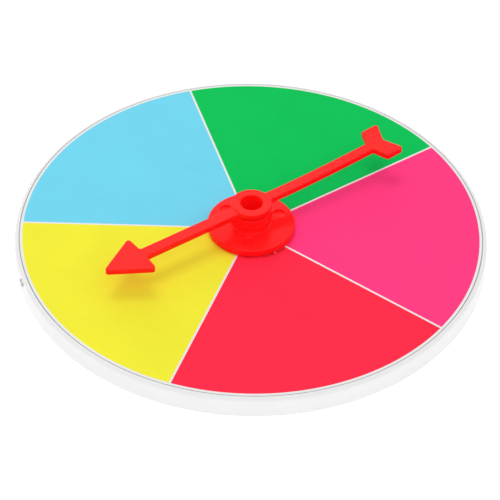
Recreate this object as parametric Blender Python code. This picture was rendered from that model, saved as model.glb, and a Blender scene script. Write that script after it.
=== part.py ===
"""Game spinner: a round five-colour board with a free-turning arrow on a hub.

Metres, +Z up. The origin is the centre of the board's underside, and +X runs along the arrow from
the hub to its tail. The arrow turns about the Z axis.
"""

import math

import bmesh
import bpy
from mathutils import Matrix, Vector

MM = 0.001
GAP = 0.3 * MM  # between pieces that rest on or in each other

# Board: a shallow tray with its recess on top and stiffening ribs underneath.
BOARD_RADIUS = 114.8 * MM
BOARD_HEIGHT = 10.6 * MM
BOARD_FOOT_RADIUS = 115.2 * MM
RIM_ROUND = 1.8 * MM
FOOT_ROUND = 0.35 * MM
FOOT_INNER_RADIUS = 112.4 * MM
RIM_INNER_RADIUS = 111.6 * MM
RECESS_RADIUS = 112.7 * MM
RECESS_FLOOR = 9.2 * MM
PLATE_UNDERSIDE = 7.0 * MM
RIB_HEIGHT = 2.0 * MM
RIB_THICKNESS = 1.6 * MM
RIB_COUNT = 10
RING_RIB_RADII = (27.0 * MM, 70.0 * MM)

# Printed face: a white sheet with five coloured panels let into it.
CARD_RADIUS = 112.2 * MM
PANEL_RADIUS = 111.0 * MM
PANEL_INNER_RADIUS = 18.3 * MM
PANEL_THICKNESS = 0.3 * MM
LINE_WIDTH = 1.05 * MM
SECTOR_ANGLE = math.radians(72.0)
FIRST_LINE_ANGLE = math.radians(-0.5)
PANEL_COLOURS = (
    ("panel_green", (0.010, 0.560, 0.105)),
    ("panel_blue", (0.178, 0.680, 0.880)),
    ("panel_yellow", (0.860, 0.850, 0.042)),
    ("panel_red", (1.000, 0.027, 0.070)),
    ("panel_pink", (1.000, 0.047, 0.231)),
)

# Spinner base: a flange with a boss, heights measured from the top of the printed face.
FACE = BOARD_HEIGHT
FLANGE_RADIUS = 21.2 * MM
FLANGE_EDGE_HEIGHT = 4.3 * MM
FLANGE_ROUND = 0.6 * MM
FLANGE_TOP_HEIGHT = 4.8 * MM
BOSS_RADIUS = 9.7 * MM
BOSS_HEIGHT = 9.5 * MM
BOSS_FILLET = 1.0 * MM
RIDGE_RADIUS = 10.0 * MM
RIDGE_HEIGHT = 1.4 * MM
BOSS_BORE_RADIUS = 8.2 * MM
BOSS_FLOOR_HEIGHT = 1.2 * MM
PEG_CIRCLE_RADIUS = 15.1 * MM
PEG_ANGLES = tuple(math.radians(a) for a in (-11.0, 109.0, 229.0))
PEG_RADIUS = 2.6 * MM
PEG_LENGTH = 5.2 * MM
PEG_HOLE_RADIUS = PEG_RADIUS + GAP
POCKET_RADIUS = 3.0 * MM
POCKET_FLOOR_HEIGHT = 3.5 * MM

# Bush: pressed into the boss, with a collar on top.
BUSH_RADIUS = BOSS_BORE_RADIUS - GAP
BUSH_BORE_RADIUS = 6.6 * MM
BUSH_BOTTOM_HEIGHT = 3.0 * MM
COLLAR_RADIUS = 9.8 * MM
COLLAR_TOP_HEIGHT = 12.85 * MM
COLLAR_ROUND = 0.6 * MM

# Arrow: flat arms with a raised hub ring that is stepped back below.
RING_TOP_HEIGHT = 16.7 * MM
RING_BOTTOM_HEIGHT = 14.4 * MM
RING_ROUND = 0.35 * MM
ARM_TOP_HEIGHT = 16.15 * MM
ARM_THICKNESS = 2.9 * MM
HUB_RADIUS = 9.8 * MM
HUB_NECK_RADIUS = 8.9 * MM
HUB_BORE_RADIUS = 5.4 * MM
HUB_FILLET = 1.5 * MM
TAIL_SHAFT_HALF_WIDTH = 2.8 * MM
HEAD_SHAFT_HALF_WIDTH = 3.0 * MM
HEAD_TIP = -84.35 * MM
HEAD_BACK = -62.15 * MM
HEAD_SWEEP = 0.5 * MM
HEAD_HALF_WIDTH = 12.5 * MM
TAIL_FRONT = 71.6 * MM
TAIL_FRONT_SWEEP = 2.9 * MM
TAIL_NOTCH = 79.75 * MM
TAIL_NOTCH_SWEEP = 4.7 * MM
TAIL_HALF_WIDTH = 10.95 * MM
CORNER_RADIUS = 1.4 * MM
INSIDE_RADIUS = 1.1 * MM
BOW_START = 20.0 * MM
BOW_RISE = 3.4 * MM
BOW_POWER = 1.6
SLEEVE_RADIUS = BUSH_BORE_RADIUS - GAP
SLEEVE_BOTTOM_HEIGHT = BOSS_FLOOR_HEIGHT + GAP
BARB_RADIUS = 7.3 * MM
BARB_HEIGHT = 1.1 * MM
SLOT_WIDTH = 1.2 * MM
SLOT_HEIGHT = 6.0 * MM

BOARD_STEPS = 120  # sides of the board's circles
HUB_STEPS = 64  # sides of the hub's circles
CUT = 1.0 * MM  # how far a cutter runs past what it cuts

RED_PLASTIC = (0.95, 0.022, 0.018)
WHITE_PLASTIC = (0.86, 0.86, 0.86)
WHITE_SHEET = (0.92, 0.92, 0.92)


def clear_scene():
    for existing in list(bpy.data.objects):
        bpy.data.objects.remove(existing, do_unlink=True)


def plastic(name, colour, roughness):
    """A one-colour plastic or printed surface."""
    material = bpy.data.materials.new(name)
    material.use_nodes = True
    shader = material.node_tree.nodes["Principled BSDF"]
    shader.inputs["Base Color"].default_value = (*colour, 1.0)
    shader.inputs["Roughness"].default_value = roughness
    shader.inputs["Metallic"].default_value = 0.0
    return material


def object_from(mesh_builder, name, material=None):
    """Turns a bmesh into an object, with its faces pointing out and its curved sides smooth."""
    bmesh.ops.recalc_face_normals(mesh_builder, faces=mesh_builder.faces)
    mesh = bpy.data.meshes.new(name)
    mesh_builder.to_mesh(mesh)
    mesh_builder.free()
    mesh.shade_smooth()
    mesh.set_sharp_from_angle(angle=math.radians(30.0))
    made = bpy.data.objects.new(name, mesh)
    bpy.context.scene.collection.objects.link(made)
    if material:
        made.data.materials.append(material)
    return made


def arc(centre, radius, start, end, steps):
    """Points on an arc, both ends included; angles in degrees."""
    angles = (math.radians(start + (end - start) * i / steps) for i in range(steps + 1))
    return [(centre[0] + radius * math.cos(a), centre[1] + radius * math.sin(a)) for a in angles]


def turned(profile, steps):
    """A closed body turned about Z from a profile of (radius, height) points.

    A profile that starts and ends on the axis gives a solid one, and any other a ring.
    """
    body = bmesh.new()
    points = [body.verts.new((radius, 0.0, height)) for radius, height in profile]
    edges = [body.edges.new(pair) for pair in zip(points, points[1:])]
    if profile[0][0] > 0.0:
        edges.append(body.edges.new((points[-1], points[0])))
    bmesh.ops.spin(
        body,
        geom=points + edges,
        cent=(0.0, 0.0, 0.0),
        axis=(0.0, 0.0, 1.0),
        angle=2.0 * math.pi,
        steps=steps,
        use_duplicate=False,
    )
    bmesh.ops.remove_doubles(body, verts=body.verts, dist=1e-6)
    return body


def prism(outline, low, high):
    """A closed body from an outline of (x, y) points, between two heights."""
    body = bmesh.new()
    base = body.faces.new([body.verts.new((x, y, low)) for x, y in outline])
    raised = bmesh.ops.extrude_face_region(body, geom=[base])
    moved = [item for item in raised["geom"] if isinstance(item, bmesh.types.BMVert)]
    bmesh.ops.translate(body, verts=moved, vec=(0.0, 0.0, high - low))
    return body


def rod(radius, low, high, steps, place=(0.0, 0.0)):
    """A closed upright cylinder."""
    outline = arc(place, radius, 0.0, 360.0 - 360.0 / steps, steps - 1)
    return prism(outline, low, high)


def block(size, place, angle=0.0):
    """A closed box turned about Z by angle after it is placed."""
    body = bmesh.new()
    bmesh.ops.create_cube(body, size=1.0)
    bmesh.ops.scale(body, verts=body.verts, vec=size)
    bmesh.ops.translate(body, verts=body.verts, vec=place)
    bmesh.ops.rotate(body, verts=body.verts, matrix=Matrix.Rotation(angle, 3, "Z"))
    return body


def several(bodies, name):
    """One helper object that holds several bodies which don't touch."""
    joined = bmesh.new()
    for body in bodies:
        bmesh.ops.recalc_face_normals(body, faces=body.faces)
        mesh = bpy.data.meshes.new(name)
        body.to_mesh(mesh)
        body.free()
        joined.from_mesh(mesh)
        bpy.data.meshes.remove(mesh)
    return object_from(joined, name)


def combine(target, operation, helper):
    """Adds a Boolean that joins the helper to the target or cuts it away."""
    helper.hide_render = True
    helper.display_type = "WIRE"
    modifier = target.modifiers.new(helper.name, "BOOLEAN")
    modifier.operation = operation
    modifier.solver = "EXACT"
    modifier.object = helper


def polar(radius, angle):
    return (radius * math.cos(angle), radius * math.sin(angle))


def peg_places():
    return [polar(PEG_CIRCLE_RADIUS, angle) for angle in PEG_ANGLES]


def peg_holes(name, low, high):
    bodies = [rod(PEG_HOLE_RADIUS, low, high, HUB_STEPS // 2, place) for place in peg_places()]
    return several(bodies, name)


def make_board(material):
    """The white tray: recess on top, rounded rim, open ribbed underside."""
    rim_centre = (BOARD_RADIUS - RIM_ROUND, BOARD_HEIGHT - RIM_ROUND)
    foot_centre = (BOARD_FOOT_RADIUS - FOOT_ROUND, FOOT_ROUND)
    rib_bottom = PLATE_UNDERSIDE - RIB_HEIGHT
    profile = [(0.0, RECESS_FLOOR), (RECESS_RADIUS, RECESS_FLOOR)]
    profile.append((RECESS_RADIUS, BOARD_HEIGHT))
    profile += arc(rim_centre, RIM_ROUND, 90.0, 0.0, 5)
    profile += arc(foot_centre, FOOT_ROUND, 0.0, -90.0, 3)
    profile.append((FOOT_INNER_RADIUS, 0.0))
    profile.append((RIM_INNER_RADIUS, PLATE_UNDERSIDE))
    for ring in reversed(RING_RIB_RADII):
        profile.append((ring + RIB_THICKNESS / 2.0, PLATE_UNDERSIDE))
        profile.append((ring + RIB_THICKNESS / 2.0, rib_bottom))
        profile.append((ring - RIB_THICKNESS / 2.0, rib_bottom))
        profile.append((ring - RIB_THICKNESS / 2.0, PLATE_UNDERSIDE))
    profile.append((0.0, PLATE_UNDERSIDE))
    board = object_from(turned(profile, BOARD_STEPS), "board", material)

    rib_start = RING_RIB_RADII[0]
    rib_end = RIM_INNER_RADIUS + RIB_THICKNESS / 2.0
    rib_size = (rib_end - rib_start, RIB_THICKNESS, RIB_HEIGHT + CUT)
    rib_place = ((rib_start + rib_end) / 2.0, 0.0, rib_bottom + rib_size[2] / 2.0)
    # Half a step off the circles' corners, so that no rib side runs along one.
    ribs = [
        block(rib_size, rib_place, (i + 0.25) * 2.0 * math.pi / RIB_COUNT) for i in range(RIB_COUNT)
    ]
    combine(board, "UNION", several(ribs, "board_ribs"))
    combine(board, "DIFFERENCE", peg_holes("board_peg_holes", 0.0, BOARD_HEIGHT))
    return board


def sector_outline(line, inner, outer, margin):
    """A ring sector between two lines, its straight sides kept margin clear of them."""
    start = FIRST_LINE_ANGLE + line * SECTOR_ANGLE
    end = start + SECTOR_ANGLE
    points = []
    for radius, first, last in ((outer, start, end), (inner, end, start)):
        inset = math.copysign(math.asin(margin / radius), last - first)
        steps = BOARD_STEPS // 5 if radius == outer else BOARD_STEPS // 15
        points += arc(
            (0.0, 0.0), radius, math.degrees(first + inset), math.degrees(last - inset), steps
        )
    return points


def make_face(sheet_material):
    """The white sheet and the coloured panels in its pockets."""
    card_bottom = RECESS_FLOOR + GAP
    panel_bottom = FACE - PANEL_THICKNESS
    pocket_bottom = panel_bottom - GAP
    card = object_from(rod(CARD_RADIUS, card_bottom, FACE, BOARD_STEPS), "face_card", sheet_material)
    pockets = []
    for line, (name, colour) in enumerate(PANEL_COLOURS):
        outline = sector_outline(line, PANEL_INNER_RADIUS, PANEL_RADIUS, LINE_WIDTH / 2.0)
        object_from(prism(outline, panel_bottom, FACE), name, plastic(name, colour, 0.45))
        pocket = sector_outline(
            line, PANEL_INNER_RADIUS - GAP, PANEL_RADIUS + GAP, LINE_WIDTH / 2.0 - GAP
        )
        pockets.append(prism(pocket, pocket_bottom, FACE + CUT))
    combine(card, "DIFFERENCE", several(pockets, "card_pockets"))
    combine(card, "DIFFERENCE", peg_holes("card_peg_holes", 0.0, FACE + CUT))


def make_base(material):
    """The red flange with its boss, blind bore, three pockets on top and three pegs below."""
    edge_centre = (FLANGE_RADIUS - FLANGE_ROUND, FACE + FLANGE_EDGE_HEIGHT - FLANGE_ROUND)
    foot_centre = (BOSS_RADIUS + BOSS_FILLET, FACE + FLANGE_TOP_HEIGHT + BOSS_FILLET)
    boss_top = FACE + BOSS_HEIGHT
    ridge_bottom = boss_top - RIDGE_HEIGHT
    lip = RIDGE_RADIUS - BOSS_RADIUS
    profile = [(0.0, FACE + BOSS_FLOOR_HEIGHT), (BOSS_BORE_RADIUS, FACE + BOSS_FLOOR_HEIGHT)]
    profile.append((BOSS_BORE_RADIUS, boss_top))
    profile += arc((BOSS_RADIUS, boss_top - lip), lip, 90.0, 0.0, 3)
    profile.append((RIDGE_RADIUS, ridge_bottom + lip))
    profile.append((BOSS_RADIUS, ridge_bottom))
    profile += arc(foot_centre, BOSS_FILLET, 180.0, 270.0, 4)
    profile += arc(edge_centre, FLANGE_ROUND, 85.0, 0.0, 4)
    profile.append((FLANGE_RADIUS, FACE + GAP))
    profile.append((0.0, FACE + GAP))
    base = object_from(turned(profile, HUB_STEPS), "spinner_base", material)

    pockets = [
        rod(POCKET_RADIUS, FACE + POCKET_FLOOR_HEIGHT, FACE + 2.0 * FLANGE_TOP_HEIGHT, 32, place)
        for place in peg_places()
    ]
    combine(base, "DIFFERENCE", several(pockets, "base_pockets"))
    pegs = [rod(PEG_RADIUS, FACE - PEG_LENGTH, FACE + CUT, 24, place) for place in peg_places()]
    combine(base, "UNION", several(pegs, "base_pegs"))


def make_bush(material):
    """The bush in the boss, with the collar that shows above it."""
    collar_bottom = FACE + BOSS_HEIGHT + GAP
    collar_top = FACE + COLLAR_TOP_HEIGHT
    round_centre = (COLLAR_RADIUS - COLLAR_ROUND, collar_top - COLLAR_ROUND)
    profile = [(BUSH_BORE_RADIUS, collar_top)]
    profile += arc(round_centre, COLLAR_ROUND, 90.0, 0.0, 4)
    profile.append((COLLAR_RADIUS, collar_bottom))
    profile.append((BUSH_RADIUS, collar_bottom))
    profile.append((BUSH_RADIUS, FACE + BUSH_BOTTOM_HEIGHT))
    profile.append((BUSH_BORE_RADIUS, FACE + BUSH_BOTTOM_HEIGHT))
    object_from(turned(profile, HUB_STEPS), "pivot_bush", material)


def rounded(corners):
    """An outline from (x, y, radius) corners, each with a radius turned into an arc."""
    points = []
    for i, (x, y, radius) in enumerate(corners):
        corner = Vector((x, y))
        if radius == 0.0:
            points.append((x, y))
            continue
        before = Vector(corners[i - 1][:2]) - corner
        after = Vector(corners[(i + 1) % len(corners)][:2]) - corner
        before.normalize()
        after.normalize()
        half = before.angle(after) / 2.0
        centre = corner + (before + after).normalized() * (radius / math.sin(half))
        start = corner + before * (radius / math.tan(half)) - centre
        turn = math.pi - 2.0 * half
        side = 1.0 if before.cross(after) < 0.0 else -1.0
        steps = max(2, round(math.degrees(turn) / 20.0))
        for step in range(steps + 1):
            spoke = Matrix.Rotation(side * turn * step / steps, 2) @ start
            points.append(tuple(centre + spoke))
    return points


def hub_side(sign):
    """The outline's way round one side of the hub ring, from the tail side to the head side."""
    fillets = []
    for width in (TAIL_SHAFT_HALF_WIDTH, HEAD_SHAFT_HALF_WIDTH):
        height = width + HUB_FILLET
        reach = math.sqrt((HUB_RADIUS + HUB_FILLET) ** 2 - height**2)
        fillets.append((reach, height, math.degrees(math.atan2(height, reach))))
    (tail_reach, tail_height, tail_touch), (head_reach, head_height, head_touch) = fillets
    points = arc((tail_reach, tail_height), HUB_FILLET, 270.0, 180.0 + tail_touch, 3)
    points += arc((0.0, 0.0), HUB_RADIUS, tail_touch, 180.0 - head_touch, HUB_STEPS // 2)[1:-1]
    points += arc((-head_reach, head_height), HUB_FILLET, -head_touch, -90.0, 3)
    if sign < 0:
        points = [(x, -y) for x, y in reversed(points)]
    return [(x, y, 0.0) for x, y in points]


def arrow_outline():
    """The arrow seen from above, anticlockwise: head at -X, swallow-tail at +X."""
    upper = [
        (TAIL_NOTCH, 0.0, INSIDE_RADIUS),
        (TAIL_NOTCH + TAIL_NOTCH_SWEEP, TAIL_HALF_WIDTH, CORNER_RADIUS),
        (TAIL_FRONT + TAIL_FRONT_SWEEP, TAIL_HALF_WIDTH, CORNER_RADIUS),
        (TAIL_FRONT, TAIL_SHAFT_HALF_WIDTH, INSIDE_RADIUS),
        *hub_side(1),
        (HEAD_BACK, HEAD_SHAFT_HALF_WIDTH, INSIDE_RADIUS),
        (HEAD_BACK - HEAD_SWEEP, HEAD_HALF_WIDTH, CORNER_RADIUS),
        (HEAD_TIP, 0.0, CORNER_RADIUS),
    ]
    lower = [
        (HEAD_BACK - HEAD_SWEEP, -HEAD_HALF_WIDTH, CORNER_RADIUS),
        (HEAD_BACK, -HEAD_SHAFT_HALF_WIDTH, INSIDE_RADIUS),
        *hub_side(-1),
        (TAIL_FRONT, -TAIL_SHAFT_HALF_WIDTH, INSIDE_RADIUS),
        (TAIL_FRONT + TAIL_FRONT_SWEEP, -TAIL_HALF_WIDTH, CORNER_RADIUS),
        (TAIL_NOTCH + TAIL_NOTCH_SWEEP, -TAIL_HALF_WIDTH, CORNER_RADIUS),
    ]
    return rounded(upper + lower)


def bow(body):
    """Bends the tail side gently upwards, in short straight stretches."""
    stretch = 4.0 * MM
    place = BOW_START + stretch
    while place < TAIL_NOTCH:
        geometry = body.verts[:] + body.edges[:] + body.faces[:]
        bmesh.ops.bisect_plane(
            body, geom=geometry, dist=1e-7, plane_co=(place, 0.0, 0.0), plane_no=(1.0, 0.0, 0.0)
        )
        place += stretch
    reach = TAIL_NOTCH + TAIL_NOTCH_SWEEP - BOW_START
    for vertex in body.verts:
        along = max(0.0, vertex.co.x - BOW_START) / reach
        vertex.co.z += BOW_RISE * along**BOW_POWER


def undercuts(low, high):
    """Two ring sectors that step the hub back to its neck between the arms."""
    bodies = []
    for start, end in ((26.0, 154.0), (206.0, 334.0)):
        outline = arc((0.0, 0.0), HUB_RADIUS + CUT, start, end, HUB_STEPS // 3)
        outline += arc((0.0, 0.0), HUB_NECK_RADIUS, end, start, HUB_STEPS // 3)
        bodies.append(prism(outline, low, high))
    return several(bodies, "arrow_undercuts")


def make_arrow(material):
    """The arrow, with a slotted sleeve under its hub that snaps in below the bush."""
    underside = FACE + ARM_TOP_HEIGHT - ARM_THICKNESS
    blade = prism(arrow_outline(), underside, FACE + ARM_TOP_HEIGHT)
    bow(blade)
    arrow = object_from(blade, "arrow", material)

    top = FACE + RING_TOP_HEIGHT
    ring_bottom = FACE + RING_BOTTOM_HEIGHT
    profile = [(0.0, top)]
    profile += arc((HUB_RADIUS - RING_ROUND, top - RING_ROUND), RING_ROUND, 90.0, 0.0, 2)
    profile += [(HUB_RADIUS, ring_bottom + CUT / 2.0), (0.0, ring_bottom + CUT / 2.0)]
    combine(arrow, "UNION", object_from(turned(profile, HUB_STEPS), "arrow_ring"))
    combine(arrow, "DIFFERENCE", undercuts(underside - CUT, ring_bottom))

    sleeve_bottom = FACE + SLEEVE_BOTTOM_HEIGHT
    inside = underside + ARM_THICKNESS / 2.0
    profile = [
        (0.0, inside),
        (SLEEVE_RADIUS, inside),
        (SLEEVE_RADIUS, sleeve_bottom + BARB_HEIGHT),
        (BARB_RADIUS, sleeve_bottom + BARB_HEIGHT),
        (SLEEVE_RADIUS, sleeve_bottom),
        (0.0, sleeve_bottom),
    ]
    combine(arrow, "UNION", object_from(turned(profile, HUB_STEPS), "arrow_sleeve"))
    bore = object_from(rod(HUB_BORE_RADIUS, FACE, top + CUT, HUB_STEPS), "arrow_bore")
    combine(arrow, "DIFFERENCE", bore)
    slot_size = (4.0 * BARB_RADIUS, SLOT_WIDTH, 2.0 * SLOT_HEIGHT)
    for name, angle in (("arrow_slot_a", math.pi / 4.0), ("arrow_slot_b", -math.pi / 4.0)):
        slot = object_from(block(slot_size, (0.0, 0.0, sleeve_bottom), angle), name)
        combine(arrow, "DIFFERENCE", slot)


def main():
    clear_scene()
    red = plastic("red_plastic", RED_PLASTIC, 0.3)
    make_board(plastic("white_plastic", WHITE_PLASTIC, 0.35))
    make_face(plastic("white_sheet", WHITE_SHEET, 0.45))
    make_base(red)
    make_bush(red)
    make_arrow(red)


main()
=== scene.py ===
import math

import bmesh
import bpy
from mathutils import Matrix, Vector, noise


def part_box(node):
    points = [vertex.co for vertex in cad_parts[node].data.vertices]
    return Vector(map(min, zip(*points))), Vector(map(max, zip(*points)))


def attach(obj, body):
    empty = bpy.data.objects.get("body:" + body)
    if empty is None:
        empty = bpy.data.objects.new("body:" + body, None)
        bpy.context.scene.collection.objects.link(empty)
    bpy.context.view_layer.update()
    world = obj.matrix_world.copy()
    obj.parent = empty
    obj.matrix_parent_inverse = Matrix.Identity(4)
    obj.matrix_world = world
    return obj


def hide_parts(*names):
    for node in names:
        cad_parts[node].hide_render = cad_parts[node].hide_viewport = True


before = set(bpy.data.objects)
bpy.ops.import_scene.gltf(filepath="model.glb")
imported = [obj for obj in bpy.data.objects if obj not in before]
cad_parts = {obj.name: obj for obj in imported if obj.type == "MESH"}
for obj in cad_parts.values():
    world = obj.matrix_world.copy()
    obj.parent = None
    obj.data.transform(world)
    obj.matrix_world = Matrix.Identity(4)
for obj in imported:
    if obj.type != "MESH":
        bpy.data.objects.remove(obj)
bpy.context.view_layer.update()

# --------------------------------------------------------------------------------------------------
# Sizes, in metres. Heights marked "above the face" are measured from the top of the printed sheet.
# --------------------------------------------------------------------------------------------------
MM = 0.001
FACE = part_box("face_card")[1].z

# Tray
TRAY_FOOT_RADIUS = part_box("board")[1].x
WALL_DRAFT = 0.4 * MM
TRAY_RADIUS = TRAY_FOOT_RADIUS - WALL_DRAFT
TRAY_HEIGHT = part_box("board")[1].z
RIM_ROUND = 1.8 * MM
FOOT_ROUND = 0.35 * MM
LIP_WIDTH = 2.1 * MM
LIP_RADIUS = TRAY_RADIUS - LIP_WIDTH
LIP_ROUND = 0.12 * MM
TRAY_FILLET = 0.6 * MM
RECESS_FLOOR = FACE - 1.4 * MM
PLATE_UNDERSIDE = FACE - 3.6 * MM
FOOT_INNER_RADIUS = 112.4 * MM
RIM_INNER_RADIUS = 111.6 * MM
RIB_HEIGHT = 2.0 * MM
RIB_THICKNESS = 1.6 * MM
RIB_ROUND = 0.3 * MM
RING_RIB_RADII = (27.0 * MM, 70.0 * MM)
RIB_COUNT = 10
PIN_MARK_CIRCLES = (48.0 * MM, 92.0 * MM)
PIN_MARK_RADIUS = 2.5 * MM
PIN_MARK_DEPTH = 0.25 * MM

# Printed sheet
SHEET_EXTRA = 0.1 * MM  # narrows the gap between the sheet and the lip
SHEET_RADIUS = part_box("face_card")[1].x + SHEET_EXTRA
SHEET_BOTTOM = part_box("face_card")[0].z
SHEET_ROUND = 0.12 * MM
PRINT_RADIUS = 111.0 * MM
PRINT_INNER_RADIUS = 18.3 * MM
PRINT_PROUD = 0.03 * MM
PRINT_SUNK = 0.05 * MM
PRINT_ROUND = 0.02 * MM
LINE_WIDTH = 1.0 * MM
SECTOR = math.radians(72.0)
FIRST_LINE = math.radians(-0.5)

# Hub base, heights above the face
BASE_BOTTOM = 0.3 * MM
FLANGE_RADIUS = 21.2 * MM
FLANGE_EDGE_HEIGHT = 4.3 * MM
FLANGE_TOP_HEIGHT = 4.8 * MM
FLANGE_ROUND = 0.6 * MM
FLANGE_FOOT_ROUND = 0.9 * MM
BOSS_RADIUS = 9.7 * MM
BOSS_HEIGHT = 9.5 * MM
BOSS_FILLET = 1.0 * MM
RIDGE_RADIUS = 10.0 * MM
RIDGE_HEIGHT = 1.4 * MM
BOSS_BORE_RADIUS = 8.2 * MM
BOSS_FLOOR = 1.2 * MM
PEG_CIRCLE = 15.1 * MM
PEG_ANGLES = tuple(math.radians(a) for a in (-11.0, 109.0, 229.0))
PEG_RADIUS = 2.6 * MM
PEG_LENGTH = 5.2 * MM
PEG_ROUND = 0.5 * MM
PEG_HOLE_RADIUS = PEG_RADIUS + 0.3 * MM
POCKET_RADIUS = 3.0 * MM
POCKET_FLOOR = 3.5 * MM
POCKET_ROUND = 0.4 * MM
FLARE = 0.35 * MM  # rounding of the mouths of the pockets and of the arrow's bore

# Glue squeezed out under the flange: angle, width, height and length of each mound
GLUE_BEADS = (
    (math.radians(246.5), 0.9 * MM, 0.8 * MM, 0.9 * MM),
    (math.radians(267.8), 1.5 * MM, 1.7 * MM, 2.0 * MM),
    (math.radians(40.0), 1.0 * MM, 0.9 * MM, 1.3 * MM),
)
GLUE_SEAMS = (
    (math.radians(256.5), 0.7 * MM, 0.8 * MM, 5.5 * MM),
    (math.radians(276.5), 0.9 * MM, 1.1 * MM, 4.5 * MM),
    (math.radians(232.0), 0.5 * MM, 0.5 * MM, 6.0 * MM),
    (math.radians(121.0), 0.6 * MM, 0.6 * MM, 5.0 * MM),
    (math.radians(12.0), 0.6 * MM, 0.6 * MM, 4.0 * MM),
)

# Scuffs on the tray's outer wall: angle, height, half length, half width and strength
SCUFFS = (
    (math.radians(163.9), FACE - 3.8 * MM, 4.2 * MM, 1.5 * MM, 1.0),
    (math.radians(162.5), FACE - 3.8 * MM, 4.2 * MM, 1.4 * MM, 0.95),
)
SCUFF_TILT = math.radians(42.0)
SCUFF_DEPTH = 3.0 * MM

# Bush, heights above the face
BUSH_RADIUS = 7.9 * MM
BUSH_BORE_RADIUS = 6.6 * MM
BUSH_BOTTOM = 3.0 * MM
COLLAR_RADIUS = 9.8 * MM
COLLAR_BOTTOM = 9.8 * MM
COLLAR_TOP = 12.85 * MM
COLLAR_ROUND = 0.6 * MM

# Arrow, heights above the face
RING_TOP = 16.7 * MM
RING_BOTTOM = 14.4 * MM
RING_ROUND = 0.45 * MM
ARM_TOP = 16.15 * MM
ARM_BOTTOM = 13.25 * MM
ARM_ROUND = 0.45 * MM
HUB_RADIUS = 9.8 * MM
HUB_NECK_RADIUS = 8.9 * MM
HUB_BORE_RADIUS = 5.4 * MM
HUB_FILLET = 1.5 * MM
TAIL_SHAFT_HALF_WIDTH = 2.8 * MM
HEAD_SHAFT_HALF_WIDTH = 3.0 * MM
HEAD_TIP = -84.35 * MM
HEAD_BACK = -62.15 * MM
HEAD_SWEEP = 0.5 * MM
HEAD_HALF_WIDTH = 12.5 * MM
TAIL_FRONT = 71.6 * MM
TAIL_FRONT_SWEEP = 2.9 * MM
TAIL_NOTCH = 79.75 * MM
TAIL_NOTCH_SWEEP = 4.7 * MM
TAIL_HALF_WIDTH = 10.95 * MM
CORNER_RADIUS = 1.4 * MM
INSIDE_RADIUS = 1.1 * MM
BOW_START = 20.0 * MM
BOW_RISE = 3.4 * MM
BOW_POWER = 1.6
SLEEVE_RADIUS = 6.3 * MM
SLEEVE_BOTTOM = 1.5 * MM
BARB_RADIUS = 7.3 * MM
BARB_HEIGHT = 1.1 * MM
SLOT_WIDTH = 1.2 * MM
SLOT_HEIGHT = 6.0 * MM

# Fineness of the round shapes
TRAY_STEPS = 360
HUB_STEPS = 144
SMALL_STEPS = 48
ROUND_STEPS = 5

# Studio and camera, about the centre of the printed face
FLOOR_HALF = 3.0
VIEW_HEADING = math.radians(35.883)
VIEW_ELEVATION = math.radians(42.087)
VIEW_DISTANCE = 1.0719
VIEW_PITCH = math.radians(42.653)
VIEW_PAN = math.radians(0.0247)
VIEW_ROLL = math.radians(1.132)
VIEW_ANGLE = math.radians(12.954)


# --------------------------------------------------------------------------------------------------
# Mesh helpers
# --------------------------------------------------------------------------------------------------
def arc(centre, radius, start, end, steps=ROUND_STEPS):
    """Points on an arc, both ends included; angles in degrees."""
    angles = (math.radians(start + (end - start) * i / steps) for i in range(steps + 1))
    return [(centre[0] + radius * math.cos(a), centre[1] + radius * math.sin(a)) for a in angles]


def polar(radius, angle):
    return (radius * math.cos(angle), radius * math.sin(angle))


def piece(body, name):
    """Turns a bmesh into an object with its faces pointing out."""
    bmesh.ops.remove_doubles(body, verts=body.verts, dist=1e-7)
    bmesh.ops.recalc_face_normals(body, faces=body.faces)
    mesh = bpy.data.meshes.new(name)
    body.to_mesh(mesh)
    body.free()
    made = bpy.data.objects.new(name, mesh)
    bpy.context.scene.collection.objects.link(made)
    return made


def turned(profile, steps):
    """A body turned about Z from (radius, height) points; off the axis, the profile is a loop."""
    body = bmesh.new()
    rings = []
    for radius, height in profile:
        if radius == 0.0:
            rings.append([body.verts.new((0.0, 0.0, height))] * steps)
            continue
        angles = (2.0 * math.pi * i / steps for i in range(steps))
        rings.append([body.verts.new((*polar(radius, a), height)) for a in angles])
    if profile[0][0] > 0.0:
        rings.append(rings[0])
    for low, high in zip(rings, rings[1:]):
        for i in range(steps):
            j = (i + 1) % steps
            corners = []
            for corner in (low[i], low[j], high[j], high[i]):
                if corner not in corners:
                    corners.append(corner)
            if len(corners) > 2:
                body.faces.new(corners)
    return body


def inset(outline, distance):
    """An anticlockwise outline with each side moved inwards by the distance."""
    moved = []
    count = len(outline)
    for i, (x, y) in enumerate(outline):
        before = Vector((x, y)) - Vector(outline[i - 1])
        after = Vector(outline[(i + 1) % count]) - Vector((x, y))
        left = Vector((-before.y, before.x)).normalized()
        right = Vector((-after.y, after.x)).normalized()
        middle = (left + right).normalized()
        moved.append(tuple(Vector((x, y)) + middle * (distance / middle.dot(left))))
    return moved


def slab(outline, low, high, low_round, high_round, steps=4):
    """A closed body between two heights, its lower and upper edges rounded."""
    levels = []
    for i in range(steps + 1):
        angle = math.pi / 2.0 * i / steps
        back, rise = 1.0 - math.sin(angle), 1.0 - math.cos(angle)
        levels.append((low_round * back, low + low_round * rise))
    for i in range(steps + 1):
        angle = math.pi / 2.0 * (1.0 - i / steps)
        back, rise = 1.0 - math.sin(angle), 1.0 - math.cos(angle)
        levels.append((high_round * back, high - high_round * rise))
    body = bmesh.new()
    rings = [[body.verts.new((x, y, z)) for x, y in inset(outline, d)] for d, z in levels]
    count = len(outline)
    for lower, upper in zip(rings, rings[1:]):
        for i in range(count):
            j = (i + 1) % count
            body.faces.new((lower[i], lower[j], upper[j], upper[i]))
    body.faces.new(list(reversed(rings[0])))
    body.faces.new(rings[-1])
    return body


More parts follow.
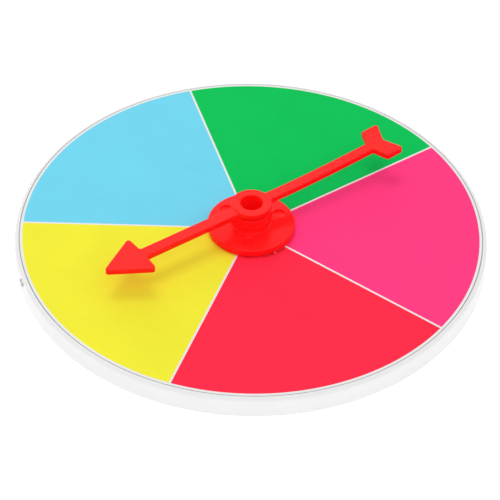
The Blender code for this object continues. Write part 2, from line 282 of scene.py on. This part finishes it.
def block(size, place, angle=0.0):
    """A box turned about Z by the angle after it is placed."""
    body = bmesh.new()
    bmesh.ops.create_cube(body, size=1.0)
    bmesh.ops.scale(body, verts=body.verts, vec=size)
    bmesh.ops.translate(body, verts=body.verts, vec=place)
    bmesh.ops.rotate(body, verts=body.verts, matrix=Matrix.Rotation(angle, 3, "Z"))
    return body


def moved_to(body, place):
    bmesh.ops.translate(body, verts=body.verts, vec=(*place, 0.0))
    return body


def several(bodies, name):
    """One object that holds several bodies which don't touch."""
    joined = bmesh.new()
    for body in bodies:
        bmesh.ops.recalc_face_normals(body, faces=body.faces)
        mesh = bpy.data.meshes.new(name)
        body.to_mesh(mesh)
        body.free()
        joined.from_mesh(mesh)
        bpy.data.meshes.remove(mesh)
    return piece(joined, name)


def combine(target, operation, helper):
    """Joins the helper to the target or cuts it away, and removes the helper."""
    modifier = target.modifiers.new("combine", "BOOLEAN")
    modifier.operation = operation
    modifier.solver = "EXACT"
    modifier.object = helper
    graph = bpy.context.evaluated_depsgraph_get()
    made = bpy.data.meshes.new_from_object(target.evaluated_get(graph))
    made.name = target.name
    target.modifiers.clear()
    target.data = made
    bpy.data.objects.remove(helper, do_unlink=True)


def finish(made, body, material, nodes=(), sharp=50.0):
    """Smooth shading, material, and what the piece rides on and stands for."""
    made.data.shade_smooth()
    made.data.set_sharp_from_angle(angle=math.radians(sharp))
    made.data.materials.clear()
    made.data.materials.append(material)
    weighted = made.modifiers.new("weighted_normals", "WEIGHTED_NORMAL")
    weighted.mode = "FACE_AREA"
    weighted.weight = 100
    weighted.keep_sharp = True
    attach(made, body)
    if nodes:
        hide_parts(*nodes)
    return made


def peg_places():
    return [polar(PEG_CIRCLE, angle) for angle in PEG_ANGLES]


# --------------------------------------------------------------------------------------------------
# Materials
# --------------------------------------------------------------------------------------------------
class Nodes:
    """A short way to build a material's nodes."""

    def __init__(self, name):
        self.material = bpy.data.materials.new(name)
        self.material.use_nodes = True
        self.tree = self.material.node_tree
        self.shader = self.tree.nodes["Principled BSDF"]
        self.place = self.new("ShaderNodeTexCoord").outputs["Object"]

    def new(self, kind, **settings):
        node = self.tree.nodes.new(kind)
        for key, value in settings.items():
            setattr(node, key, value)
        return node

    def link(self, source, target):
        self.tree.links.new(source, target)

    def noise(self, size, detail=3.0, roughness=0.5):
        """Noise whose features are about that size, in metres."""
        node = self.new("ShaderNodeTexNoise")
        self.link(self.place, node.inputs["Vector"])
        node.inputs["Scale"].default_value = 1.0 / size
        node.inputs["Detail"].default_value = detail
        node.inputs["Roughness"].default_value = roughness
        return node.outputs["Fac"]

    def ranged(self, value, low, high, start=0.3, end=0.7):
        node = self.new("ShaderNodeMapRange")
        self.link(value, node.inputs["Value"])
        node.inputs["From Min"].default_value = start
        node.inputs["From Max"].default_value = end
        node.inputs["To Min"].default_value = low
        node.inputs["To Max"].default_value = high
        return node.outputs["Result"]

    def patch(self, place, turns, half_size, strength):
        """The strength inside a turned ellipsoid; it fades to nought towards the surface."""
        node = self.new("ShaderNodeMapping", vector_type="TEXTURE")
        self.link(self.place, node.inputs["Vector"])
        node.inputs["Location"].default_value = place
        node.inputs["Rotation"].default_value = turns
        node.inputs["Scale"].default_value = half_size
        length = self.new("ShaderNodeVectorMath", operation="LENGTH")
        self.link(node.outputs["Vector"], length.inputs[0])
        return self.ranged(length.outputs["Value"], strength, 0.0, 0.6, 1.0)

    def mixed(self, factor, first, second):
        node = self.new("ShaderNodeMix", data_type="RGBA")
        self.link(factor, node.inputs["Factor"])
        for socket, colour in ((node.inputs["A"], first), (node.inputs["B"], second)):
            if isinstance(colour, tuple):
                socket.default_value = (*colour, 1.0)
            else:
                self.link(colour, socket)
        return node.outputs["Result"]

    def bumps(self, *layers):
        """Stacked bumps of (height value, depth in metres)."""
        normal = None
        for height, depth in layers:
            node = self.new("ShaderNodeBump")
            node.inputs["Strength"].default_value = 1.0
            node.inputs["Distance"].default_value = depth
            self.link(height, node.inputs["Height"])
            if normal:
                self.link(normal, node.inputs["Normal"])
            normal = node.outputs["Normal"]
        self.link(normal, self.shader.inputs["Normal"])

    def set(self, **values):
        for name, value in values.items():
            self.shader.inputs[name.replace("_", " ")].default_value = value


def shade(colour, factor):
    return tuple(min(1.0, c * factor) for c in colour)


def red_plastic(name, base, gloss, painted_glow):
    """Moulded red plastic: translucent, satin, with faint flow marks.

    The emission is painted light: it keeps the piece bright red in its shade, so the piece glows
    though it is no lamp.
    """
    nodes = Nodes(name)
    flow = nodes.ranged(nodes.noise(14.0 * MM, 4.0, 0.6), 0.0, 1.0)
    colour = nodes.mixed(flow, shade(base, 0.95), shade(base, 1.04))
    nodes.link(colour, nodes.shader.inputs["Base Color"])
    nodes.link(
        nodes.ranged(nodes.noise(5.0 * MM, 5.0, 0.65), 0.18, 0.28), nodes.shader.inputs["Roughness"]
    )
    nodes.set(Subsurface_Weight=0.7, Subsurface_Scale=4.0 * MM, Subsurface_Radius=(1.0, 0.06, 0.05))
    # Painted light: a red emission, though the piece is no lamp.
    nodes.set(Emission_Color=(1.0, 0.0, 0.0, 1.0), Emission_Strength=painted_glow)
    nodes.set(IOR=1.46, Specular_IOR_Level=gloss)
    grain, waves = nodes.noise(0.35 * MM, 4.0, 0.6), nodes.noise(7.0 * MM, 2.0)
    nodes.bumps((grain, 0.004 * MM), (waves, 0.05 * MM))
    return nodes.material


def white_plastic():
    """Moulded white plastic with a satin surface, and the scuffs on its wall."""
    nodes = Nodes("white_plastic")
    base = (0.785, 0.78, 0.785)
    cloud = nodes.ranged(nodes.noise(22.0 * MM, 4.0, 0.6), 0.0, 1.0)
    clouded = nodes.mixed(cloud, shade(base, 0.985), shade(base, 1.01))
    streaks = nodes.ranged(nodes.noise(1.2 * MM, 3.0, 0.7), 0.6, 1.0, 0.40, 0.58)
    marked = nodes.mixed(streaks, clouded, (0.16, 0.125, 0.11))
    colour = clouded
    for angle, height, length, width, strength in SCUFFS:
        place = (*polar(TRAY_RADIUS, angle), height)
        size = (SCUFF_DEPTH, length, width)
        scuff = nodes.patch(place, (SCUFF_TILT, 0.0, angle), size, strength)
        colour = nodes.mixed(scuff, colour, marked)
    nodes.link(colour, nodes.shader.inputs["Base Color"])
    nodes.link(
        nodes.ranged(nodes.noise(3.0 * MM, 5.0, 0.7), 0.30, 0.44), nodes.shader.inputs["Roughness"]
    )
    nodes.set(Subsurface_Weight=0.2, Subsurface_Scale=1.2 * MM, Subsurface_Radius=(1.0, 1.0, 1.0))
    nodes.set(IOR=1.46, Specular_IOR_Level=0.3)
    nodes.bumps((nodes.noise(0.4 * MM, 4.0, 0.6), 0.004 * MM))
    return nodes.material


def printed(name, colour):
    """Ink on the smooth white sheet: a fine print grain and slight clouding."""
    nodes = Nodes(name)
    cloud = nodes.ranged(nodes.noise(26.0 * MM, 5.0, 0.6), 0.0, 1.0)
    clouded = nodes.mixed(cloud, shade(colour, 0.97), shade(colour, 1.03))
    grain = nodes.ranged(nodes.noise(0.22 * MM, 2.0, 0.7), 0.0, 0.10, 0.45, 0.75)
    inked = nodes.mixed(grain, clouded, shade(colour, 0.8))
    nodes.link(inked, nodes.shader.inputs["Base Color"])
    nodes.link(
        nodes.ranged(nodes.noise(9.0 * MM, 4.0, 0.6), 0.42, 0.52), nodes.shader.inputs["Roughness"]
    )
    nodes.set(IOR=1.45, Specular_IOR_Level=0.04)
    tooth, waves = nodes.noise(0.3 * MM, 3.0, 0.6), nodes.noise(18.0 * MM, 2.0)
    nodes.bumps((tooth, 0.003 * MM), (waves, 0.02 * MM))
    return nodes.material


def glue(name, dark, pale, gloss):
    """Set glue, coloured red as painted light: the red of the print and flange round it, seen in and
    through the glue.
    """
    nodes = Nodes(name)
    tint = nodes.mixed(nodes.ranged(nodes.noise(0.8 * MM, 4.0), 0.0, 1.0), dark, pale)
    nodes.link(tint, nodes.shader.inputs["Base Color"])
    nodes.set(Roughness=0.2, IOR=1.45, Specular_IOR_Level=gloss)
    nodes.bumps((nodes.noise(0.5 * MM, 2.0), 0.02 * MM))
    return nodes.material


# --------------------------------------------------------------------------------------------------
# Pieces
# --------------------------------------------------------------------------------------------------
def make_tray(material):
    """The white tray: rounded rim, recess for the sheet, ribbed and open underside."""
    rib_bottom = PLATE_UNDERSIDE - RIB_HEIGHT
    rim = (TRAY_RADIUS - RIM_ROUND, TRAY_HEIGHT - RIM_ROUND)
    foot = (TRAY_FOOT_RADIUS - FOOT_ROUND, FOOT_ROUND)
    inner_foot = (FOOT_INNER_RADIUS + RIB_ROUND, RIB_ROUND)
    root = (RIM_INNER_RADIUS - TRAY_FILLET, PLATE_UNDERSIDE - TRAY_FILLET)
    profile = [(0.0, RECESS_FLOOR), (LIP_RADIUS - TRAY_FILLET, RECESS_FLOOR)]
    profile.append((LIP_RADIUS, RECESS_FLOOR + LIP_ROUND))
    profile += arc((LIP_RADIUS + LIP_ROUND, TRAY_HEIGHT - LIP_ROUND), LIP_ROUND, 180.0, 90.0, 3)
    profile += arc(rim, RIM_ROUND, 90.0, 0.0, 10)
    profile += arc(foot, FOOT_ROUND, 0.0, -90.0, 6)
    profile += arc(inner_foot, RIB_ROUND, 270.0, 180.0, 3)
    profile += arc(root, TRAY_FILLET, 0.0, 90.0, 4)
    for radius in reversed(RING_RIB_RADII):
        outer = radius + RIB_THICKNESS / 2.0
        inner = radius - RIB_THICKNESS / 2.0
        profile += arc((outer + RIB_ROUND, PLATE_UNDERSIDE - RIB_ROUND), RIB_ROUND, 90.0, 180.0, 2)
        profile += arc((outer - RIB_ROUND, rib_bottom + RIB_ROUND), RIB_ROUND, 0.0, -90.0, 3)
        profile += arc((inner + RIB_ROUND, rib_bottom + RIB_ROUND), RIB_ROUND, 270.0, 180.0, 3)
        profile += arc((inner - RIB_ROUND, PLATE_UNDERSIDE - RIB_ROUND), RIB_ROUND, 0.0, 90.0, 2)
    profile.append((0.0, PLATE_UNDERSIDE))
    tray = piece(turned(profile, TRAY_STEPS), "tray")

    start = RING_RIB_RADII[0]
    end = RIM_INNER_RADIUS + RIB_THICKNESS / 2.0
    ribs = []
    for i in range(RIB_COUNT):
        half = RIB_THICKNESS / 2.0
        outline = [(start, -half), (end, -half), (end, half), (start, half)]
        rib = slab(outline, rib_bottom, PLATE_UNDERSIDE + MM, RIB_ROUND, 0.0, 3)
        turn = Matrix.Rotation((i + 0.25) * 2.0 * math.pi / RIB_COUNT, 3, "Z")
        bmesh.ops.rotate(rib, verts=rib.verts, matrix=turn)
        ribs.append(rib)
    combine(tray, "UNION", several(ribs, "tray_ribs"))
    holes = [
        moved_to(turned(drilled(PEG_HOLE_RADIUS, 0.0, TRAY_HEIGHT), SMALL_STEPS), place)
        for place in peg_places()
    ]
    combine(tray, "DIFFERENCE", several(holes, "tray_holes"))
    marks = []
    for i in range(RIB_COUNT):
        for radius in PIN_MARK_CIRCLES:
            place = polar(radius, (i + 0.75) * 2.0 * math.pi / RIB_COUNT)
            low, high = PLATE_UNDERSIDE - MM, PLATE_UNDERSIDE + PIN_MARK_DEPTH
            marks.append(moved_to(turned(drilled(PIN_MARK_RADIUS, low, high), 36), place))
    combine(tray, "DIFFERENCE", several(marks, "tray_pin_marks"))
    return finish(tray, "board", material, ["board"])


def drilled(radius, low, high):
    """The profile of a plain upright hole."""
    return [(0.0, low), (radius, low), (radius, high), (0.0, high)]


def make_sheet(material):
    """The white sheet under the print."""
    low = (SHEET_RADIUS - SHEET_ROUND, SHEET_BOTTOM + SHEET_ROUND)
    high = (SHEET_RADIUS - SHEET_ROUND, FACE - SHEET_ROUND)
    profile = [(0.0, SHEET_BOTTOM), *arc(low, SHEET_ROUND, -90.0, 0.0, 3)]
    profile += [*arc(high, SHEET_ROUND, 0.0, 90.0, 3), (0.0, FACE)]
    sheet = piece(turned(profile, TRAY_STEPS), "face_sheet")
    holes = [
        moved_to(turned(drilled(PEG_HOLE_RADIUS, 0.0, 2.0 * FACE), SMALL_STEPS), place)
        for place in peg_places()
    ]
    combine(sheet, "DIFFERENCE", several(holes, "sheet_holes"))
    return finish(sheet, "board", material, ["face_card"])


def make_print(index, name, colour):
    """One printed sector between two white lines."""
    start = FIRST_LINE + index * SECTOR
    outline = []
    for radius, first, last, steps in (
        (PRINT_RADIUS, start, start + SECTOR, TRAY_STEPS // 5),
        (PRINT_INNER_RADIUS, start + SECTOR, start, TRAY_STEPS // 15),
    ):
        margin = math.copysign(math.asin(LINE_WIDTH / 2.0 / radius), last - first)
        first, last = math.degrees(first + margin), math.degrees(last - margin)
        outline += arc((0.0, 0.0), radius, first, last, steps)
    layer = slab(outline, FACE - PRINT_SUNK, FACE + PRINT_PROUD, 0.0, PRINT_ROUND, 2)
    ink = piece(layer, "print_" + name)
    material = printed("print_" + name, colour)
    return finish(ink, "board", material, ["panel_" + name], 30.0)


def make_base(material):
    """The flange with its boss, pockets on top and pegs below."""
    top = FACE + BOSS_HEIGHT
    lip = RIDGE_RADIUS - BOSS_RADIUS
    edge = (FLANGE_RADIUS - FLANGE_ROUND, FACE + FLANGE_EDGE_HEIGHT - FLANGE_ROUND)
    root = (BOSS_RADIUS + BOSS_FILLET, FACE + FLANGE_TOP_HEIGHT + BOSS_FILLET)
    foot = (FLANGE_RADIUS - FLANGE_FOOT_ROUND, FACE + BASE_BOTTOM + FLANGE_FOOT_ROUND)
    profile = [(0.0, FACE + BOSS_FLOOR), (BOSS_BORE_RADIUS, FACE + BOSS_FLOOR)]
    profile += arc((BOSS_BORE_RADIUS + lip, top - lip), lip, 180.0, 90.0, 3)
    profile += arc((BOSS_RADIUS, top - lip), lip, 90.0, 0.0, 4)
    profile += arc((BOSS_RADIUS, top - RIDGE_HEIGHT + lip), lip, 0.0, -60.0, 3)
    profile += arc(root, BOSS_FILLET, 180.0, 268.0, 8)
    profile += arc(edge, FLANGE_ROUND, 88.0, 0.0, 6)
    profile += arc(foot, FLANGE_FOOT_ROUND, 0.0, -90.0, 4)
    profile.append((0.0, FACE + BASE_BOTTOM))
    base = piece(turned(profile, HUB_STEPS), "hub_base")

    mouth = FACE + FLANGE_TOP_HEIGHT - 0.15 * MM
    corner = (POCKET_RADIUS - POCKET_ROUND, FACE + POCKET_FLOOR + POCKET_ROUND)
    pocket = [(0.0, FACE + POCKET_FLOOR)]
    pocket += arc(corner, POCKET_ROUND, -90.0, 0.0, 4)
    pocket += arc((POCKET_RADIUS + FLARE, mouth - FLARE), FLARE, 180.0, 90.0, 4)
    pocket += [(POCKET_RADIUS + 2.0 * FLARE, mouth + FLARE), (0.0, mouth + FLARE)]
    pockets = [moved_to(turned(pocket, 64), place) for place in peg_places()]
    combine(base, "DIFFERENCE", several(pockets, "base_pockets"))
    low = FACE - PEG_LENGTH
    peg = [(0.0, low), *arc((PEG_RADIUS - PEG_ROUND, low + PEG_ROUND), PEG_ROUND, -90.0, 0.0, 4)]
    peg += [(PEG_RADIUS, FACE + MM), (0.0, FACE + MM)]
    pegs = [moved_to(turned(peg, SMALL_STEPS), place) for place in peg_places()]
    combine(base, "UNION", several(pegs, "base_pegs"))
    return finish(base, "board", material, ["spinner_base"])


def mound(angle, width, height, length):
    """A low mound of glue against the flange's foot, with an uneven outline."""
    around, across = 24, 8
    middle = FLANGE_RADIUS - 0.15 * MM + 0.2 * width
    body = bmesh.new()
    rings = []
    for i in range(1, across + 1):
        rise = math.pi / 2.0 * i / across
        ring = []
        for j in range(around):
            x, y = polar(math.sin(rise), 2.0 * math.pi * j / around)
            swell = 1.0 + 0.3 * noise.noise(Vector((x + 9.0 * angle, y, 2.0 * rise)))
            reach = middle + 0.5 * x * width * swell
            place = polar(reach, angle + 0.5 * y * length / middle * swell)
            ring.append(body.verts.new((*place, FACE + height * math.cos(rise) * swell)))
        rings.append(ring)
    crown = body.verts.new((*polar(middle, angle), FACE + height))
    sole = body.verts.new((*polar(middle, angle), FACE))
    for j in range(around):
        k = (j + 1) % around
        body.faces.new((crown, rings[0][j], rings[0][k]))
        body.faces.new((sole, rings[-1][k], rings[-1][j]))
        for low, high in zip(rings, rings[1:]):
            body.faces.new((low[j], high[j], high[k], low[k]))
    return body


def make_glue():
    """The film of glue under the flange, and what it squeezed out round its foot."""
    low, high = FACE + 0.05 * MM, FACE + BASE_BOTTOM - 0.03 * MM
    # The glue is real; the dark red of the film and the seams is painted shade in the gap under the
    # flange's foot.
    seam_shade = glue("glue_seam", (0.55, 0.008, 0.016), (0.85, 0.02, 0.03), 0.15)
    bead = glue("glue_bead", (0.85, 0.018, 0.03), (1.0, 0.06, 0.08), 0.25)
    reach = FLANGE_RADIUS - FLANGE_FOOT_ROUND
    film = piece(turned(drilled(reach, low, high), HUB_STEPS), "glue_film")
    finish(film, "board", seam_shade)
    finish(several([mound(*sizes) for sizes in GLUE_SEAMS], "glue_seams"), "board", seam_shade)
    finish(several([mound(*sizes) for sizes in GLUE_BEADS], "glue_beads"), "board", bead)


def make_bush(material):
    """The bush in the boss and the collar that shows above it."""
    top, bottom = FACE + COLLAR_TOP, FACE + COLLAR_BOTTOM
    small = 0.25 * MM
    profile = arc((BUSH_BORE_RADIUS + small, top - small), small, 180.0, 90.0, 3)
    profile += arc((COLLAR_RADIUS - COLLAR_ROUND, top - COLLAR_ROUND), COLLAR_ROUND, 90.0, 0.0, 7)
    profile += arc((COLLAR_RADIUS - small, bottom + small), small, 0.0, -90.0, 3)
    profile.append((BUSH_RADIUS, bottom))
    profile.append((BUSH_RADIUS, FACE + BUSH_BOTTOM))
    profile.append((BUSH_BORE_RADIUS, FACE + BUSH_BOTTOM))
    bush = piece(turned(profile, HUB_STEPS), "hub_bush")
    return finish(bush, "board", material, ["pivot_bush"])


def rounded(corners):
    """An outline from (x, y, radius) corners, each with a radius turned into an arc."""
    points = []
    for i, (x, y, radius) in enumerate(corners):
        corner = Vector((x, y))
        if radius == 0.0:
            points.append((x, y))
            continue
        before = (Vector(corners[i - 1][:2]) - corner).normalized()
        after = (Vector(corners[(i + 1) % len(corners)][:2]) - corner).normalized()
        half = before.angle(after) / 2.0
        centre = corner + (before + after).normalized() * (radius / math.sin(half))
        start = corner + before * (radius / math.tan(half)) - centre
        turn = math.pi - 2.0 * half
        side = 1.0 if before.cross(after) < 0.0 else -1.0
        steps = max(4, round(math.degrees(turn) / 9.0))
        for step in range(steps + 1):
            spoke = Matrix.Rotation(side * turn * step / steps, 2) @ start
            points.append(tuple(centre + spoke))
    return points


def hub_side(sign):
    """The outline's way round one side of the hub ring, from the tail side to the head side."""
    fillets = []
    for width in (TAIL_SHAFT_HALF_WIDTH, HEAD_SHAFT_HALF_WIDTH):
        height = width + HUB_FILLET
        reach = math.sqrt((HUB_RADIUS + HUB_FILLET) ** 2 - height**2)
        fillets.append((reach, height, math.degrees(math.atan2(height, reach))))
    (tail_reach, tail_height, tail_touch), (head_reach, head_height, head_touch) = fillets
    points = arc((tail_reach, tail_height), HUB_FILLET, 270.0, 180.0 + tail_touch, 8)
    points += arc((0.0, 0.0), HUB_RADIUS, tail_touch, 180.0 - head_touch, HUB_STEPS // 2)[1:-1]
    points += arc((-head_reach, head_height), HUB_FILLET, -head_touch, -90.0, 8)
    if sign < 0:
        points = [(x, -y) for x, y in reversed(points)]
    return [(x, y, 0.0) for x, y in points]


def arrow_outline():
    """The arrow seen from above, anticlockwise: head at -X, swallow-tail at +X."""
    upper = [
        (TAIL_NOTCH, 0.0, INSIDE_RADIUS),
        (TAIL_NOTCH + TAIL_NOTCH_SWEEP, TAIL_HALF_WIDTH, CORNER_RADIUS),
        (TAIL_FRONT + TAIL_FRONT_SWEEP, TAIL_HALF_WIDTH, CORNER_RADIUS),
        (TAIL_FRONT, TAIL_SHAFT_HALF_WIDTH, INSIDE_RADIUS),
        *hub_side(1),
        (HEAD_BACK, HEAD_SHAFT_HALF_WIDTH, INSIDE_RADIUS),
        (HEAD_BACK - HEAD_SWEEP, HEAD_HALF_WIDTH, CORNER_RADIUS),
        (HEAD_TIP, 0.0, CORNER_RADIUS),
    ]
    lower = [
        (HEAD_BACK - HEAD_SWEEP, -HEAD_HALF_WIDTH, CORNER_RADIUS),
        (HEAD_BACK, -HEAD_SHAFT_HALF_WIDTH, INSIDE_RADIUS),
        *hub_side(-1),
        (TAIL_FRONT, -TAIL_SHAFT_HALF_WIDTH, INSIDE_RADIUS),
        (TAIL_FRONT + TAIL_FRONT_SWEEP, -TAIL_HALF_WIDTH, CORNER_RADIUS),
        (TAIL_NOTCH + TAIL_NOTCH_SWEEP, -TAIL_HALF_WIDTH, CORNER_RADIUS),
    ]
    return rounded(upper + lower)


def bow(body):
    """Bends the tail side gently upwards, in short stretches."""
    stretch = 2.0 * MM
    place = BOW_START + stretch
    while place < TAIL_NOTCH + TAIL_NOTCH_SWEEP:
        geometry = body.verts[:] + body.edges[:] + body.faces[:]
        bmesh.ops.bisect_plane(
            body, geom=geometry, dist=1e-7, plane_co=(place, 0.0, 0.0), plane_no=(1.0, 0.0, 0.0)
        )
        place += stretch
    reach = TAIL_NOTCH + TAIL_NOTCH_SWEEP - BOW_START
    for vertex in body.verts:
        along = max(0.0, vertex.co.x - BOW_START) / reach
        vertex.co.z += BOW_RISE * along**BOW_POWER


def make_arrow(material, bore_glow_material):
    """The arrow with its hub ring, and the slotted sleeve under it."""
    blade = slab(arrow_outline(), FACE + ARM_BOTTOM, FACE + ARM_TOP, 0.25 * MM, ARM_ROUND)
    bow(blade)
    arrow = piece(blade, "arrow_body")

    top = FACE + RING_TOP
    middle = FACE + RING_BOTTOM + 0.5 * MM
    shoulder = (HUB_RADIUS - RING_ROUND, top - RING_ROUND)
    profile = [(0.0, top), *arc(shoulder, RING_ROUND, 90.0, 0.0, 6)]
    profile += [(HUB_RADIUS, middle), (0.0, middle)]
    combine(arrow, "UNION", piece(turned(profile, HUB_STEPS), "arrow_ring"))

    cuts = []
    for start, end in ((26.0, 154.0), (206.0, 334.0)):
        outline = arc((0.0, 0.0), HUB_RADIUS + MM, start, end, HUB_STEPS // 2)
        outline += arc((0.0, 0.0), HUB_NECK_RADIUS, end, start, HUB_STEPS // 2)
        cuts.append(slab(outline, FACE + ARM_BOTTOM - MM, FACE + RING_BOTTOM, 0.0, 0.25 * MM, 3))
    combine(arrow, "DIFFERENCE", several(cuts, "arrow_undercuts"))

    low = FACE + SLEEVE_BOTTOM
    inside = FACE + (ARM_BOTTOM + ARM_TOP) / 2.0
    profile = [
        (0.0, inside),
        (SLEEVE_RADIUS, inside),
        (SLEEVE_RADIUS, low + BARB_HEIGHT),
        (BARB_RADIUS, low + BARB_HEIGHT),
        (SLEEVE_RADIUS, low),
        (0.0, low),
    ]
    combine(arrow, "UNION", piece(turned(profile, HUB_STEPS), "arrow_sleeve"))
    profile = [(0.0, FACE), (HUB_BORE_RADIUS, FACE)]
    profile += arc((HUB_BORE_RADIUS + FLARE, top - FLARE), FLARE, 180.0, 90.0, 5)
    profile += [(HUB_BORE_RADIUS + FLARE, top + MM), (0.0, top + MM)]
    combine(arrow, "DIFFERENCE", piece(turned(profile, HUB_STEPS), "arrow_bore"))
    for angle in (math.pi / 4.0, -math.pi / 4.0):
        size = (4.0 * BARB_RADIUS, SLOT_WIDTH, 2.0 * SLOT_HEIGHT)
        combine(arrow, "DIFFERENCE", piece(block(size, (0.0, 0.0, low), angle), "arrow_slot"))
    finish(arrow, "arrow", material, ["arrow"])
    # The bore's wall takes the hub's red plastic, whose painted red emission keeps the deep bore
    # bright red.
    arrow.data.materials.append(bore_glow_material)
    for face in arrow.data.polygons:
        if face.center.xy.length < HUB_BORE_RADIUS + 0.1 * MM and abs(face.normal.z) < 0.7:
            face.material_index = 1
    return arrow


def make_studio():
    """A pale floor, soft light from above and a pale surround."""
    body = bmesh.new()
    corners = ((-1.0, -1.0), (1.0, -1.0), (1.0, 1.0), (-1.0, 1.0))
    body.faces.new([body.verts.new((x * FLOOR_HALF, y * FLOOR_HALF, 0.0)) for x, y in corners])
    floor = piece(body, "floor")
    nodes = Nodes("floor_paper")
    tint = nodes.mixed(nodes.noise(0.4, 2.0), (0.93, 0.93, 0.93), (0.94, 0.94, 0.94))
    nodes.link(tint, nodes.shader.inputs["Base Color"])
    nodes.set(Roughness=0.9, Specular_IOR_Level=0.1)
    nodes.set(Emission_Color=(1.0, 1.0, 1.0, 1.0), Emission_Strength=0.45)
    floor.data.materials.append(nodes.material)

    world = bpy.data.worlds.new("surround")
    world.use_nodes = True
    surround = world.node_tree.nodes["Background"]
    surround.inputs["Color"].default_value = (1.0, 1.0, 1.0, 1.0)
    surround.inputs["Strength"].default_value = 0.73
    bpy.context.scene.world = world
    softbox("top_light", side=-8.0, back=10.0, distance=1.4, size=0.6, power=3.9)
    softbox("front_light", side=8.0, back=-40.0, distance=2.0, size=1.4, power=6.0)
    softbox("back_light", side=-20.0, back=60.0, distance=2.0, size=1.4, power=6.2)


def softbox(name, side, back, distance, size, power):
    """A square lamp over the face; it leans to the viewer's right and away, by angles in degrees."""
    turn = Matrix.Rotation(-VIEW_HEADING, 3, "Z")
    lean = Vector((math.tan(math.radians(side)), math.tan(math.radians(back)), 1.0)).normalized()
    lamp = bpy.data.lights.new(name, "AREA")
    lamp.shape = "SQUARE"
    lamp.size = size
    lamp.energy = power
    holder = bpy.data.objects.new(name, lamp)
    holder.location = turn @ lean * distance
    holder.rotation_euler = holder.location.to_track_quat("Z", "Y").to_euler()
    bpy.context.scene.collection.objects.link(holder)


def make_camera():
    """The camera: from in front and above, with the arrow's head to the lower left."""
    turn = Matrix.Rotation(-VIEW_HEADING, 4, "Z")
    back = VIEW_DISTANCE * math.cos(VIEW_ELEVATION)
    place = turn @ Vector((0.0, -back, FACE + VIEW_DISTANCE * math.sin(VIEW_ELEVATION)))
    aim = (
        turn
        @ Matrix.Rotation(VIEW_PAN, 4, "Z")
        @ Matrix.Rotation(math.pi / 2.0 - VIEW_PITCH, 4, "X")
        @ Matrix.Rotation(VIEW_ROLL, 4, "Z")
    )
    camera = bpy.data.cameras.new("camera")
    camera.sensor_width = 36.0
    camera.angle = VIEW_ANGLE
    camera.clip_start = 0.01
    camera.clip_end = 20.0
    holder = bpy.data.objects.new("camera", camera)
    holder.matrix_world = Matrix.Translation(place) @ aim
    bpy.context.scene.collection.objects.link(holder)
    bpy.context.scene.camera = holder


# Names and colours of the printed sectors, anticlockwise from the arrow's tail
PRINTS = (
    ("green", (0.0, 0.513, 0.090)),
    ("blue", (0.160, 0.632, 0.815)),
    ("yellow", (0.84, 0.80, 0.037)),
    ("red", (0.95, 0.024, 0.064)),
    ("pink", (0.95, 0.043, 0.215)),
)

make_camera()
make_studio()
# The hub's red is the arrow's red plastic with painted light added: a red emission that keeps the
# hub bright red in its shade, and less gloss, which stands in for the sky that the arm and boss hide
# from it.
hub_red_painted_glow = red_plastic("hub_red_painted_glow", (0.99, 0.010, 0.012), 0.12, 0.12)
arrow_red = red_plastic("arrow_red", (0.99, 0.009, 0.007), 0.17, 0.0)
make_tray(white_plastic())
make_sheet(printed("white_sheet", (0.775, 0.775, 0.765)))
for index, (name, colour) in enumerate(PRINTS):
    make_print(index, name, colour)
make_base(hub_red_painted_glow)
make_glue()
make_bush(hub_red_painted_glow)
make_arrow(arrow_red, hub_red_painted_glow)
bpy.context.scene.view_settings.view_transform = "Standard"
